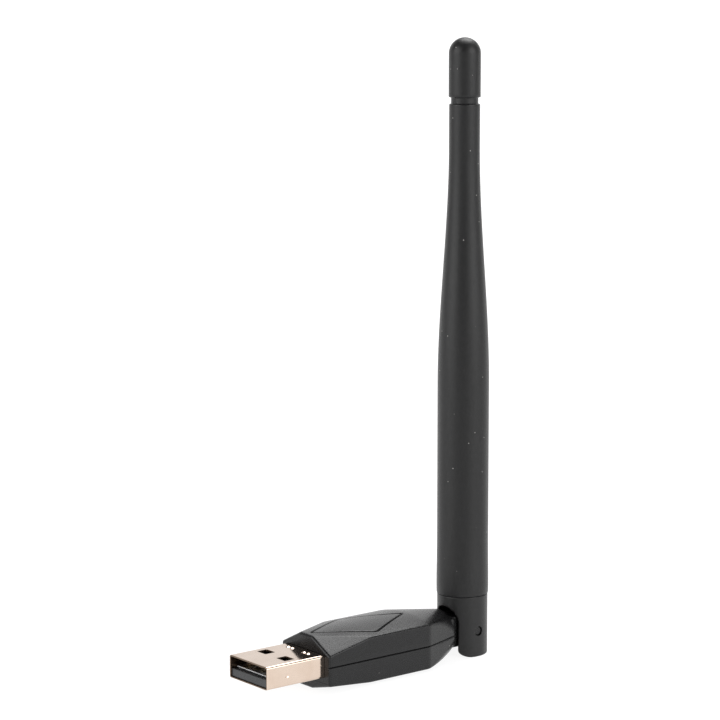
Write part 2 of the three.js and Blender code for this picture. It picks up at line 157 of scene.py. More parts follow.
def ring_loft(name, loops):
    """Closed loops of equal length, joined one to the next and the last to the first."""
    count = len(loops[0])
    verts = np.concatenate(loops)
    faces = []
    for i in range(len(loops)):
        here, there = i * count, (i + 1) % len(loops) * count
        for j in range(count):
            k = (j + 1) % count
            faces.append((here + j, here + k, there + k, there + j))
    return face_outwards(new_object(name, verts, faces))


def along(axis, a, b, c):
    """The points (a, b) of a section that is square to the axis, at c along it."""
    a, b = np.asarray(a, float), np.asarray(b, float)
    c = np.full_like(a, c) if np.ndim(c) == 0 else np.asarray(c, float)
    order = {"x": (c, a, b), "y": (a, c, b), "z": (a, b, c)}[axis]
    return np.stack(order, -1)


def prism(name, axis, outline, low, high):
    a, b = np.asarray(outline, float).T
    return closed_loft(name, [along(axis, a, b, low), along(axis, a, b, high)])


def rod(name, axis, centre, radius, low, high):
    angle = np.linspace(0, 2 * np.pi, ROD_STEPS, endpoint=False)
    outline = np.stack([centre[0] + radius * np.cos(angle), centre[1] + radius * np.sin(angle)], -1)
    return prism(name, axis, outline, low, high)


def box(name, low, high):
    (x0, y0, z0), (x1, y1, z1) = low, high
    return prism(name, "z", [(x0, y0), (x1, y0), (x1, y1), (x0, y1)], z0, z1)


def rounded_rectangle(half_a, half_b, radius, corner_steps, cuts_a=(), cuts_b=()):
    """Points round a rounded rectangle, with extra points at the given places along its straight sides."""
    points = []
    for quarter, (sign_a, sign_b) in enumerate([(1, 1), (-1, 1), (-1, -1), (1, -1)]):
        for step in range(corner_steps + 1):
            angle = (quarter + step / corner_steps) * np.pi / 2
            points.append((
                sign_a * (half_a - radius) + radius * np.cos(angle),
                sign_b * (half_b - radius) + radius * np.sin(angle),
            ))
        if quarter in (0, 2):
            side = half_b if quarter == 0 else -half_b
            ordered = sorted(cuts_a, reverse=quarter == 0)
            points += [(a, side) for a in ordered]
        else:
            side = -half_a if quarter == 1 else half_a
            ordered = sorted(cuts_b, reverse=quarter == 1)
            points += [(side, b) for b in ordered]
    return np.array(points)


def lathe(name, profile):
    """A closed profile of (radius, height) turned about the upright line through the hinge pin."""
    profile = np.asarray(profile, float)
    steps = LATHE_STEPS
    angle = np.linspace(0, 2 * np.pi, steps, endpoint=False)
    verts, rings = [], []
    for radius, height in profile:
        if radius < 1e-6:
            rings.append([len(verts)])
            verts.append((PIN_X, 0, height))
        else:
            rings.append(list(range(len(verts), len(verts) + steps)))
            verts += [(PIN_X + radius * np.cos(a), radius * np.sin(a), height) for a in angle]
    faces = []
    for here, there in zip(rings, rings[1:] + rings[:1]):
        for j in range(steps):
            k = (j + 1) % steps
            if len(here) == 1 and len(there) == 1:
                break
            if len(here) == 1:
                faces.append((here[0], there[k], there[j]))
            elif len(there) == 1:
                faces.append((here[j], here[k], there[0]))
            else:
                faces.append((here[j], here[k], there[k], there[j]))
    return face_outwards(new_object(name, verts, faces))


# ---- rounded solids from distance functions ----
def both(a, b, radius):
    """Inside a and b, with their shared edge rounded."""
    u, v = np.maximum(radius + a, 0), np.maximum(radius + b, 0)
    return np.minimum(-radius, np.maximum(a, b)) + np.sqrt(u * u + v * v)


def either(a, b, radius):
    """Inside a or b, with a fillet where they meet."""
    return -both(-a, -b, radius)


def meshed(name, inside, low, high, step):
    """A closed quad mesh on inside(points) = 0, found on a grid and then moved on to the surface."""
    low, high = np.asarray(low, float), np.asarray(high, float)
    count = np.ceil((high - low) / step).astype(int) + 1
    axes = [low[i] + step * np.arange(count[i]) for i in range(3)]
    grid = np.stack(np.meshgrid(*axes, indexing="ij"), -1)
    value = inside(grid.reshape(-1, 3)).reshape(count)
    value[np.abs(value) < 1e-7] = 1e-7
    solid = value < 0
    cells = count - 1
    total, weight = np.zeros((*cells, 3)), np.zeros(cells)
    for axis in range(3):
        others = [i for i in range(3) if i != axis]
        for du in (0, 1):
            for dv in (0, 1):
                start = [slice(0, cells[i]) for i in range(3)]
                start[others[0]] = slice(du, du + cells[others[0]])
                start[others[1]] = slice(dv, dv + cells[others[1]])
                end = list(start)
                end[axis] = slice(1, 1 + cells[axis])
                a, b = value[tuple(start)], value[tuple(end)]
                crossing = (a < 0) != (b < 0)
                share = np.where(crossing, a / np.where(crossing, a - b, 1), 0)
                point = grid[tuple(start)].copy()
                point[..., axis] += share * step
                total += point * crossing[..., None]
                weight += crossing
    active = weight > 0
    index = np.full(cells, -1)
    index[active] = np.arange(active.sum())
    verts = total[active] / weight[active][:, None]
    faces = []
    for axis in range(3):
        u, v = [(1, 2), (2, 0), (0, 1)][axis]
        inner = [slice(0, cells[i]) for i in range(3)]
        inner[u], inner[v] = slice(1, cells[u]), slice(1, cells[v])
        after = list(inner)
        after[axis] = slice(1, 1 + cells[axis])
        here, there = solid[tuple(inner)], solid[tuple(after)]
        place = np.argwhere(here != there)
        place[:, u] += 1
        place[:, v] += 1
        outward = here[here != there]
        corners = []
        for du, dv in [(-1, -1), (0, -1), (0, 0), (-1, 0)]:
            cell = place.copy()
            cell[:, u] += du
            cell[:, v] += dv
            corners.append(index[tuple(cell.T)])
        quads = np.stack(corners, -1)
        quads[~outward] = quads[~outward][:, ::-1]
        faces.append(quads)
    tiny = 1e-4
    for _ in range(6):
        here = inside(verts)
        slope = np.stack([
            (inside(verts + offset) - inside(verts - offset)) / (2 * tiny)
            for offset in np.eye(3) * tiny
        ], -1)
        move = here[:, None] * slope / np.maximum((slope**2).sum(-1, keepdims=True), 0.25)
        verts = verts - np.clip(move, -0.4 * step, 0.4 * step)
    return face_outwards(new_object(name, verts, np.concatenate(faces)))


# ---- materials ----
class Finish:
    """A procedural material on one Principled shader, with short ways to add nodes."""

    def __init__(self, name, metallic=0.0):
        self.material = bpy.data.materials.new(name)
        self.material.use_nodes = True
        self.tree = self.material.node_tree
        self.shader = self.tree.nodes["Principled BSDF"]
        self.shader.inputs["Metallic"].default_value = metallic
        self.coords = self.node("ShaderNodeTexCoord").outputs["Object"]

    def node(self, kind, values=None, **settings):
        made = self.tree.nodes.new(kind)
        for key, value in settings.items():
            setattr(made, key, value)
        for key, value in (values or {}).items():
            self.set(made.inputs[key], value)
        return made

    def set(self, socket, value):
        if isinstance(value, bpy.types.NodeSocket):
            self.tree.links.new(value, socket)
        else:
            socket.default_value = value

    def stretched(self, scale):
        return self.node("ShaderNodeMapping", {"Vector": self.coords, "Scale": scale}).outputs["Vector"]

    def noise(self, per_mm, detail=2.0, roughness=0.5, coords=None):
        made = self.node("ShaderNodeTexNoise", {
            "Vector": coords or self.coords, "Scale": per_mm / MM, "Detail": detail, "Roughness": roughness})
        return made.outputs["Fac"]

    def cells(self, per_mm, feature="F1"):
        values = {"Vector": self.coords, "Scale": per_mm / MM}
        return self.node("ShaderNodeTexVoronoi", values, feature=feature)

    def spread(self, source, low, high, to_low, to_high):
        made = self.node("ShaderNodeMapRange", {
            "Value": source, "From Min": low, "From Max": high, "To Min": to_low, "To Max": to_high})
        made.clamp = True
        return made.outputs["Result"]

    def math(self, operation, a, b=0.0):
        made = self.node("ShaderNodeMath", operation=operation)
        self.set(made.inputs[0], a)
        self.set(made.inputs[1], b)
        return made.outputs["Value"]

    def parts(self, vector):
        return self.node("ShaderNodeSeparateXYZ", {"Vector": vector}).outputs

    def size(self, value, middle=0.0):
        """How far a value is from the middle, either way."""
        return self.math("ABSOLUTE", self.math("SUBTRACT", value, middle))

    def mix(self, share, a, b):
        made = self.node("ShaderNodeMix", data_type="RGBA")
        self.set(made.inputs["Factor"], share)
        self.set(made.inputs[6], a if isinstance(a, bpy.types.NodeSocket) else (*a, 1.0))
        self.set(made.inputs[7], b if isinstance(b, bpy.types.NodeSocket) else (*b, 1.0))
        return made.outputs[2]

    def edges(self, low=0.52, high=0.6):
        """1 along sharp outside edges, 0 on flats."""
        pointed = self.node("ShaderNodeNewGeometry").outputs["Pointiness"]
        return self.spread(pointed, low, high, 0.0, 1.0)

    def bump(self, height, depth_mm, below=None):
        made = self.node("ShaderNodeBump", {"Height": height, "Distance": depth_mm * MM, "Strength": 1.0})
        if below is not None:
            self.set(made.inputs["Normal"], below)
        return made.outputs["Normal"]

    def finish(self, colour, roughness, normal=None, specular=0.5):
        self.set(self.shader.inputs["Base Color"], colour)
        self.set(self.shader.inputs["Roughness"], roughness)
        self.shader.inputs["Specular IOR Level"].default_value = specular
        if normal is not None:
            self.set(self.shader.inputs["Normal"], normal)
        return self.material


SPECKS_PER_MM = 0.55
SPECK_SIZE = (0.04, 0.075)  # where a speck starts to fade and where it ends, as shares of a cell
SPECK_COLOUR = (0.32, 0.31, 0.3)


def textured_plastic(name, dark, light, roughness, grain, specular, dust):
    """Moulded plastic with a spark-eroded texture, faint mottling, paler and smoother sharp edges and pale
    specks.

    A cell whose random number is above dust has a speck at its middle.
    """
    f = Finish(name)
    mottle = f.noise(0.9, 3.0)
    fine = f.noise(4.2, 2.0, 0.6)
    sparks = f.noise(9.0, 2.0, 0.7)
    colour = f.mix(f.spread(mottle, 0.35, 0.65, 0.0, 1.0), dark, light)
    # sharp edges get a paler colour
    colour = f.mix(f.math("MULTIPLY", f.edges(), 0.35), colour, tuple(c * 1.9 for c in light))
    speck = f.cells(SPECKS_PER_MM)
    near = f.spread(speck.outputs["Distance"], *SPECK_SIZE, 1.0, 0.0)
    draw = f.node("ShaderNodeSeparateColor", {"Color": speck.outputs["Color"]}).outputs["Red"]
    chosen = f.spread(draw, dust, dust + 0.003, 0.0, 1.0)
    colour = f.mix(f.math("MULTIPLY", near, chosen), colour, SPECK_COLOUR)
    rough = f.math("ADD", f.spread(fine, 0.3, 0.7, roughness - 0.05, roughness + 0.06),
                   f.math("MULTIPLY", f.edges(), -0.08))
    normal = f.bump(fine, grain)
    normal = f.bump(sparks, grain * 0.6, below=normal)
    return f.finish(colour, rough, normal, specular)


def plated_steel(name):
    """Polished plating over drawn sheet, with darker unplated steel on its cut edges, and the same dark tone
    painted inside the mouth as shade.
    """
    f = Finish(name, metallic=1.0)
    lines = f.noise(1.0, 3.0, 0.6, f.stretched((0.35, 9.0, 9.0)))
    smudge = f.noise(0.28, 3.0, 0.55)
    orange = f.noise(1.6, 2.0)
    colour = f.mix(f.spread(smudge, 0.3, 0.7, 0.0, 1.0), (0.64, 0.512, 0.420), (0.69, 0.565, 0.472))
    # painted highlight: sharp edges of the plug get a paler plating colour
    colour = f.mix(f.math("MULTIPLY", f.edges(0.53, 0.62), 0.12), colour, (0.82, 0.74, 0.62))
    place, facing = f.parts(f.coords), f.parts(f.node("ShaderNodeTexCoord").outputs["Normal"])
    across, height = f.size(place["Y"], ORIGIN.y), f.size(place["Z"], ORIGIN.z)
    # painted shade: the inner faces of the plug take the dark steel tone, for the shade inside the mouth
    inside = f.math("MULTIPLY", f.math("LESS_THAN", across, (PLUG_HIGH[1] - 0.15) * MM),
                    f.math("LESS_THAN", height, (PLUG_HIGH[2] - 0.15) * MM))
    end_cut = f.spread(f.size(facing["X"]), 0.86, 0.95, 0.0, 1.0)
    window_cut = f.math("MULTIPLY", f.spread(f.size(facing["Y"]), 0.86, 0.95, 0.0, 1.0),
                        f.math("LESS_THAN", across, 5.2 * MM))
    # the dark tone marks the cut edges (unplated steel) and also the painted shade inside the mouth
    raw_edges_and_painted_shade = f.math("MAXIMUM", f.math("MAXIMUM", end_cut, window_cut), inside)
    raw_steel_and_shade_tone = f.mix(f.spread(lines, 0.35, 0.65, 0.0, 1.0), (0.15, 0.105, 0.075), (0.24, 0.175, 0.13))
    colour = f.mix(raw_edges_and_painted_shade, colour, raw_steel_and_shade_tone)
    rough = f.math("ADD", f.spread(smudge, 0.3, 0.75, 0.08, 0.13), f.spread(lines, 0.35, 0.65, 0.0, 0.03))
    rough = f.math("ADD", rough, f.math("MULTIPLY", raw_edges_and_painted_shade, 0.18))
    normal = f.bump(orange, 0.0015)
    normal = f.bump(lines, 0.0012, below=normal)
    return f.finish(colour, rough, normal)


def plain_metal(name, dark, light, roughness):
    f = Finish(name, metallic=1.0)
    drawn = f.noise(1.2, 3.0, 0.6, f.stretched((0.5, 6.0, 6.0)))
    colour = f.mix(f.spread(f.noise(0.8, 2.0), 0.3, 0.7, 0.0, 1.0), dark, light)
    rough = f.spread(drawn, 0.3, 0.7, roughness - 0.06, roughness + 0.08)
    return f.finish(colour, rough, f.bump(drawn, 0.002))


def tongue_plastic(name):
    """Smooth dark plastic, with a painted highlight: a pale line of colour along the step behind the tongue's
    lip.
    """
    f = Finish(name)
    flow = f.noise(0.7, 3.0)
    fine = f.noise(6.0, 2.0)
    colour = f.mix(f.spread(flow, 0.35, 0.65, 0.0, 1.0), (0.017, 0.018, 0.019), (0.024, 0.025, 0.027))
    place = f.parts(f.coords)
    along_x = f.size(place["X"], ORIGIN.x + (LIP_REAR - 0.02) * MM)
    on_step = f.math("MULTIPLY", f.math("LESS_THAN", along_x, 0.13 * MM),
                     f.math("GREATER_THAN", place["Z"], ORIGIN.z + (TONGUE_TOP - 0.14) * MM))
    # painted highlight: a pale line along the step's edge, where light catches it
    painted_step_highlight = f.math("MULTIPLY", on_step, f.spread(fine, 0.3, 0.7, 0.75, 1.0))
    colour = f.mix(painted_step_highlight, colour, (0.62, 0.62, 0.63))
    rough = f.spread(fine, 0.3, 0.7, 0.25, 0.35)
    return f.finish(colour, rough, f.bump(fine, 0.003), 0.45)


def smooth_plastic(name, dark, light, roughness):
    f = Finish(name)
    flow = f.noise(0.7, 3.0)
    fine = f.noise(6.0, 2.0)
    colour = f.mix(f.spread(flow, 0.35, 0.65, 0.0, 1.0), dark, light)
    rough = f.spread(fine, 0.3, 0.7, roughness - 0.05, roughness + 0.05)
    return f.finish(colour, rough, f.bump(fine, 0.003))


def board_mask(name):
    """Green solder mask with paler tracks under it and a weave of glass."""
    f = Finish(name)
    to_gap = f.cells(0.5, "DISTANCE_TO_EDGE").outputs["Distance"]
    track = f.spread(to_gap, 0.05, 0.08, 1.0, 0.0)
    weave = f.node("ShaderNodeTexWave", {"Vector": f.coords, "Scale": 0.35 / MM, "Distortion": 0.5})
    colour = f.mix(track, (0.012, 0.11, 0.055), (0.03, 0.2, 0.1))
    rough = f.spread(f.noise(2.0, 2.0), 0.3, 0.7, 0.28, 0.4)
    normal = f.bump(track, 0.02)
    return f.finish(colour, rough, f.bump(weave.outputs["Fac"], 0.002, below=normal))


def clear_lens(name):
    f = Finish(name)
    haze = f.noise(1.5, 2.0)
    f.shader.inputs["Transmission Weight"].default_value = 0.6
    colour = f.mix(f.spread(haze, 0.3, 0.7, 0.0, 1.0), (0.82, 0.88, 0.78), (0.9, 0.93, 0.86))
    return f.finish(colour, f.spread(haze, 0.3, 0.7, 0.12, 0.24))


# the tongue's top and the end of its lip, how far the lip slopes down, and the front of the block behind
TONGUE_TOP, LIP_REAR, LIP_DROP, BLOCK_FRONT = -0.1, 1.5, 0.3, 12.2

finishes = {
    "housing_plastic": textured_plastic(
        "housing_plastic", (0.0058, 0.0058, 0.0061), (0.0078, 0.0078, 0.0082), 0.27, 0.018, 0.32, 0.9),
    "antenna_plastic": textured_plastic(
        "antenna_plastic", (0.0064, 0.0064, 0.0066), (0.0084, 0.0084, 0.0087), 0.38, 0.028, 0.34, 0.5),
    "plug_metal": plated_steel("plug_metal"),
    # the contacts' colour is darkened to brown: painted shade for their place deep in the mouth, where
    # plating would read brighter
    "contact_metal": plain_metal("contact_metal", (0.30, 0.24, 0.15), (0.38, 0.31, 0.20), 0.3),
    "tongue_plastic": tongue_plastic("tongue_plastic"),
    "board": board_mask("board"),
    "chip_plastic": smooth_plastic("chip_plastic", (0.012, 0.012, 0.013), (0.02, 0.02, 0.021), 0.5),
    "component_metal": plain_metal("component_metal", (0.55, 0.56, 0.58), (0.7, 0.71, 0.73), 0.3),
    "ceramic": smooth_plastic("ceramic", (0.36, 0.25, 0.14), (0.46, 0.33, 0.19), 0.5),
    "led_lens": clear_lens("led_lens"),
    "cable_jacket": smooth_plastic("cable_jacket", (0.012, 0.012, 0.013), (0.018, 0.018, 0.019), 0.35),
    "sleeve_brass": plain_metal("sleeve_brass", (0.6, 0.42, 0.16), (0.72, 0.53, 0.24), 0.28),
    "copper_wire": plain_metal("copper_wire", (0.66, 0.33, 0.19), (0.78, 0.42, 0.26), 0.3),
}
slot_of = {part["node"]: part["material_slot"] for part in frame["record"]["subparts"]}


def finished(obj, node, body):
    """The piece stands for that CAD node, with its finish, and rides on its body."""
    obj.data.materials.clear()
    obj.data.materials.append(finishes[slot_of[node]])
    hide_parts(node)
    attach(obj, body)


# ---- housing: a section at each X, as a core line with outward normals and a rounding radius ----
FACET_X, TAPER_X = 24.3, 38.7
CROWN_RADIUS = 32.2
EDGE_RADIUS = 0.4
FRONT_ROUNDING, REAR_ROUNDING = 0.45, 0.3
RIDGE_Y, RIDGE_Z = 1.76, 5.22
SHOULDER_Z = 2.24
FOOT_HALF_WIDTH = 1.8
FRONT_FOOT_RISE, FULL_FOOT_RISE, FOOT_POWER = 1.5, 0.55, 1.3
SEAM_CHAMFER = 0.1
SEAM_LIP = [(0.25, SEAM_Z), (0.3, 0.004)]  # how far inside the seam's edge, and its height
COLLAR_RADIUS = 4.6
FACET_END = 0.954  # the share of the way to the full section at which the corner facets stop
TAPER_POWER = 1.7  # how late the section turns round along the taper
EASING = 0.5
PLAIN_END = 0.6  # the length before the collar where the taper isn't eased
COARSE_STEP, FINE_STEP, FINE_REACH = 0.4, 0.12, 0.9


def crown(y):
    return CROWN_TOP - CROWN_RADIUS + np.sqrt(CROWN_RADIUS**2 - y**2)


def lerp(a, b, share):
    return a + (b - a) * share


def eased(x, start, end, top=None, floor=None):
    """The share of the way from start to end, with its corners rounded over the easing length."""
    share = (np.linspace(x - EASING, x + EASING, 11) - start) / (end - start)
    return float(np.mean(np.clip(share, floor, top)))


def run_lengths(points):
    """The length along the points up to each one."""
    return np.concatenate([[0], np.cumsum(np.linalg.norm(np.diff(points, axis=0), axis=1))])


def top_height(x, y):
    """Height of the housing's top between its ridges, in front of the taper."""
    share = eased(x, FRONT_X, FACET_X, top=1.0)
    across = y / lerp(RIDGE_Y, HALF_WIDTH, share)
    return lerp(RIDGE_Z, crown(HALF_WIDTH * across), share)


def unit(angle):
    return np.array([np.cos(angle), np.sin(angle)])


def upper_quarter(share):
    """Core points and normals from the seam up over the ridge to the middle, for Y above 0."""
    ridge_y = lerp(RIDGE_Y, HALF_WIDTH, share)
    side_z = crown(HALF_WIDTH)
    shoulder = np.array([HALF_WIDTH, lerp(SHOULDER_Z, side_z, share)])
    ridge = np.array([ridge_y, lerp(RIDGE_Z, side_z, share)])
    facet_angle = math.atan2(HALF_WIDTH - RIDGE_Y, RIDGE_Z - SHOULDER_Z)
    plateau_slope = share * HALF_WIDTH / CROWN_RADIUS * HALF_WIDTH / ridge_y
    plateau_angle = math.pi / 2 - math.atan(plateau_slope)
    facet, plateau, side = unit(facet_angle), unit(plateau_angle), np.array([1.0, 0.0])
    inset = np.array([-EDGE_RADIUS, -EDGE_RADIUS])
    low_core = shoulder + np.linalg.solve(np.stack([side, facet]), inset)
    high_core = ridge + np.linalg.solve(np.stack([facet, plateau]), inset)
    points = [(HALF_WIDTH - EDGE_RADIUS - SEAM_CHAMFER, SEAM_Z)]
    normals = [side]
    for z in np.linspace(SEAM_Z + SEAM_CHAMFER, low_core[1], 7)[:-1]:
        points.append((HALF_WIDTH - EDGE_RADIUS, z))
        normals.append(side)
    for angle in np.linspace(0, facet_angle, 7):
        points.append(low_core)
        normals.append(unit(angle))
    for step in np.linspace(0, 1, 8)[1:-1]:
        points.append(lerp(low_core, high_core, step))
        normals.append(facet)
    for angle in np.linspace(facet_angle, plateau_angle, 5):
        points.append(high_core)
        normals.append(unit(angle))
    start = (high_core + EDGE_RADIUS * plateau)[0]
    for y in np.linspace(start, 0, 15)[1:]:
        across = y / ridge_y
        z = lerp(RIDGE_Z, crown(HALF_WIDTH * across), share)
        slope = -share * HALF_WIDTH * across / CROWN_RADIUS * HALF_WIDTH / ridge_y
        normal = np.array([-slope, 1.0]) / math.hypot(slope, 1.0)
        points.append(np.array([y, z]) - EDGE_RADIUS * normal)
        normals.append(normal)
    return np.array(points), np.array(normals)


def lower_quarter(share):
    """Core points and normals from the seam down round the bottom edge to the middle, for Y above 0."""
    def foot(y):
        run = np.clip((y - FOOT_HALF_WIDTH) / (HALF_WIDTH - FOOT_HALF_WIDTH), 0, None)
        return FLOOR_Z + lerp(FRONT_FOOT_RISE * run, FULL_FOOT_RISE * run**FOOT_POWER, share)

    tiny = 1e-3
    slope = (foot(HALF_WIDTH) - foot(HALF_WIDTH - tiny)) / tiny
    last_angle = -math.pi / 2 + math.atan(slope)
    side, base = np.array([1.0, 0.0]), unit(last_angle)
    corner = np.array([HALF_WIDTH, foot(HALF_WIDTH)])
    core = corner + np.linalg.solve(np.stack([side, base]), [-EDGE_RADIUS, -EDGE_RADIUS])
    points = [(HALF_WIDTH - EDGE_RADIUS - SEAM_CHAMFER, -SEAM_Z)]
    normals = [side]
    for z in np.linspace(-SEAM_Z - SEAM_CHAMFER, core[1], 7)[:-1]:
        points.append((HALF_WIDTH - EDGE_RADIUS, z))
        normals.append(side)
    for angle in np.linspace(0, last_angle, 9):
        points.append(core)
        normals.append(unit(angle))
    start = (core + EDGE_RADIUS * base)[0]
    rising, flat = np.linspace(start, FOOT_HALF_WIDTH, 12)[1:], np.linspace(FOOT_HALF_WIDTH, 0, 5)[1:]
    for y in np.concatenate([rising, flat]):
        slope = (foot(y + tiny) - foot(y - tiny)) / (2 * tiny)
        normal = np.array([slope, -1.0]) / math.hypot(slope, 1.0)
        points.append(np.array([y, foot(y)]) - EDGE_RADIUS * normal)
        normals.append(normal)
    return np.array(points), np.array(normals)


def half_section(x, inset, quarter):
    """The outline of one shell at x, from the seam on one side over to the seam on the other."""
    share = eased(x, FRONT_X, FACET_X, top=FACET_END)
    if x < COLLAR_X - PLAIN_END:
        taper = min(eased(x, TAPER_X, COLLAR_X, floor=0.0), 1.0)
    else:
        taper = (x - TAPER_X) / (COLLAR_X - TAPER_X)
    core, normal = quarter(share)
    mirror = np.array([-1, 1])
    core = np.concatenate([core, core[-2::-1] * mirror])
    normal = np.concatenate([normal, normal[-2::-1] * mirror])
    if taper > 0:
        before = run_lengths(core + EDGE_RADIUS * normal)
        fine = np.linspace(0, len(core) - 1, (len(core) - 1) * 10 + 1)
        index = np.arange(len(core))
        fine_core = np.stack([np.interp(fine, index, core[:, i]) for i in range(2)], -1)
        fine_normal = np.stack([np.interp(fine, index, normal[:, i]) for i in range(2)], -1)
        fine_normal /= np.linalg.norm(fine_normal, axis=1, keepdims=True)
        radius = lerp(EDGE_RADIUS, COLLAR_RADIUS, taper**TAPER_POWER)
        reach = np.array([HALF_WIDTH, CROWN_TOP if quarter is upper_quarter else -FLOOR_Z])
        shrink = (lerp(reach, COLLAR_RADIUS, taper) - radius) / (reach - EDGE_RADIUS)
        outline = shrink * fine_core + (radius - inset) * fine_normal
        length = run_lengths(outline)
        wanted = lerp(before / before[-1], index / index[-1], taper) * length[-1]
        outline = np.stack([np.interp(wanted, length, outline[:, i]) for i in range(2)], -1)
    else:
        outline = core + (EDGE_RADIUS - inset) * normal
    side = 1 if quarter is upper_quarter else -1
    limit = np.full(len(outline), SEAM_Z + SEAM_CHAMFER)
    limit[[0, -1]] = SEAM_Z
    outline[:, 1] = side * np.maximum(side * outline[:, 1], limit)
    lips = []
    for end, inner in [(0, 1), (-1, -2)]:
        outward = outline[inner][0]
        edge = outward - math.copysign(SEAM_CHAMFER, outward)
        outline[end] = (edge, side * SEAM_Z)
        lips.append([(edge - math.copysign(step, edge), side * z) for step, z in SEAM_LIP])
    outline = np.concatenate([lips[0][::-1], outline, lips[1]])
    return along("x", outline[:, 0], outline[:, 1], x)


def stations():
    """(x, inset) from the rounded front edge to the rounded rear edge."""
    angles = np.linspace(0, np.pi / 2, 6)
    rows = [(FRONT_X + FRONT_ROUNDING * (1 - np.cos(a)), FRONT_ROUNDING * (1 - np.sin(a))) for a in angles]
    x = FRONT_X + FRONT_ROUNDING
    while x < COLLAR_X - REAR_ROUNDING - COARSE_STEP:
        fine = min(abs(x - FACET_X), abs(x - TAPER_X)) < FINE_REACH
        x += FINE_STEP if fine else COARSE_STEP
        rows.append((x, 0.0))
    for a in angles[::-1]:
        rows.append((COLLAR_X - REAR_ROUNDING * (1 - np.cos(a)), REAR_ROUNDING * (1 - np.sin(a))))
    return rows


def housing_half(name, quarter):
    return closed_loft(name, [half_section(x, inset, quarter) for x, inset in stations()])


WALL_SHARE = 0.83
CAVITY_X = (14.95, 45.45)  # where the cavity would end if it followed the housing to its collar
CAVITY_SHORT = 0.7  # the length of housing before the collar that the cavity leaves out
SHELL_POINTS = slice(len(SEAM_LIP) + 1, -len(SEAM_LIP) - 1, 3)  # some of a section's points, without its lips
BORE_RADIUS, BORE_DEPTH = 2.35, 4.0


def housing_cavity():
    loops = []
    for x in np.linspace(FRONT_X + 0.01, COLLAR_X - CAVITY_SHORT, 26):
        upper = half_section(x, 0.0, upper_quarter)[SHELL_POINTS]
        lower = half_section(x, 0.0, lower_quarter)[SHELL_POINTS][::-1]
        loop = np.concatenate([upper, lower])
        loop[:, 1:] *= WALL_SHARE
        loop[:, 0] = lerp(*CAVITY_X, (x - FRONT_X) / (COLLAR_X - FRONT_X))
        loops.append(loop)
    return closed_loft("cavity", loops)


INLAY_X = (INLAY_LOW[0] + INLAY_HIGH[0]) / 2
INLAY_HALF_LENGTH, INLAY_HALF_WIDTH = 11.45, 5.95
INLAY_CORNER = 1.0
INLAY_FLOOR = 4.42
INLAY_GROOVE = 0.2
INLAY_EDGE = [(0, 0.24), (0.04, 0.16), (0.12, 0.07), (0.2, 0.02)]  # distance in from the edge, and drop
INLAY_RINGS = (0.3, 0.5, 1.4, 2.6, 3.9)  # further in, where the plate follows the top
POCKET_EXTRAS, POCKET_DROPS = (0.0, 0.08, 0.22), (0.2, 0.07, -0.02)
POCKET_TOP = 8.0


def inlay_outline(grow):
    """The lozenge with rounded corners, as points relative to its centre."""
    half_length, half_wide = INLAY_HALF_LENGTH + 2 * grow, INLAY_HALF_WIDTH + 1.1 * grow
    corners = np.array([(half_length, 0), (0, half_wide), (-half_length, 0), (0, -half_wide)], float)
    points = []
    for i, corner in enumerate(corners):
        before, after = corners[i - 1], corners[(i + 1) % 4]
        share = INLAY_CORNER / np.linalg.norm(corner - before)
        start, end = lerp(corner, before, share), lerp(corner, after, share)
        for t in np.linspace(0, 1, 9):
            points.append((1 - t) ** 2 * start + 2 * t * (1 - t) * corner + t**2 * end)
        following = lerp(after, corner, INLAY_CORNER / np.linalg.norm(after - corner))
        for t in np.linspace(0, 1, 26)[1:-1]:
            points.append(lerp(end, following, t))
    return np.array(points)


def on_top(outline, drop):
    return np.array([(INLAY_X + x, y, top_height(INLAY_X + x, y) - drop) for x, y in outline])


def inlay_pocket():
    """The pocket for the inlay plate, flared a little where it meets the top."""
    outlines = [inlay_outline(INLAY_GROOVE + extra) for extra in POCKET_EXTRAS]
    bottom, top = outlines[0], outlines[-1]
    return closed_loft("pocket", [
        along("z", bottom[:, 0] + INLAY_X, bottom[:, 1], INLAY_FLOOR),
        *(on_top(outline, drop) for outline, drop in zip(outlines, POCKET_DROPS)),
        along("z", top[:, 0] + INLAY_X, top[:, 1], POCKET_TOP),
    ])


def inlay_plate():
    outline = inlay_outline(0.0)
    count = len(outline)
    to_edge = INLAY_HALF_LENGTH * INLAY_HALF_WIDTH / math.hypot(INLAY_HALF_LENGTH, INLAY_HALF_WIDTH)
    loops = [along("z", outline[:, 0] + INLAY_X, outline[:, 1], INLAY_FLOOR + 0.03)]
    for distance, drop in [*INLAY_EDGE, *((ring, 0) for ring in INLAY_RINGS)]:
        loops.append(on_top(outline * (1 - distance / to_edge), drop))
    verts = np.concatenate([*loops, on_top([(0, 0)], 0)])
    faces = [tuple(range(count))]
    for i in range(len(loops) - 1):
        for j in range(count):
            a, b = i * count + j, i * count + (j + 1) % count
            faces.append((a, b, b + count, a + count))
    last, centre = (len(loops) - 1) * count, len(verts) - 1
    faces += [(last + j, last + (j + 1) % count, centre) for j in range(count)]
    return face_outwards(new_object("inlay", verts, faces))


PLUG_HALF_WIDTH, PLUG_HALF_HEIGHT = PLUG_HIGH[1], PLUG_HIGH[2]
PLUG_REAR = PLUG_HIGH[0]
OPENING_GAP, OPENING_CORNER, OPENING_REAR_GAP = 0.06, 0.6, 0.15


def plug_opening():
    half_width, half_height = PLUG_HALF_WIDTH + OPENING_GAP, PLUG_HALF_HEIGHT + OPENING_GAP
    outline = rounded_rectangle(half_width, half_height, OPENING_CORNER, 6)
    return prism("opening", "x", outline, FRONT_X - 1, PLUG_REAR + OPENING_REAR_GAP)


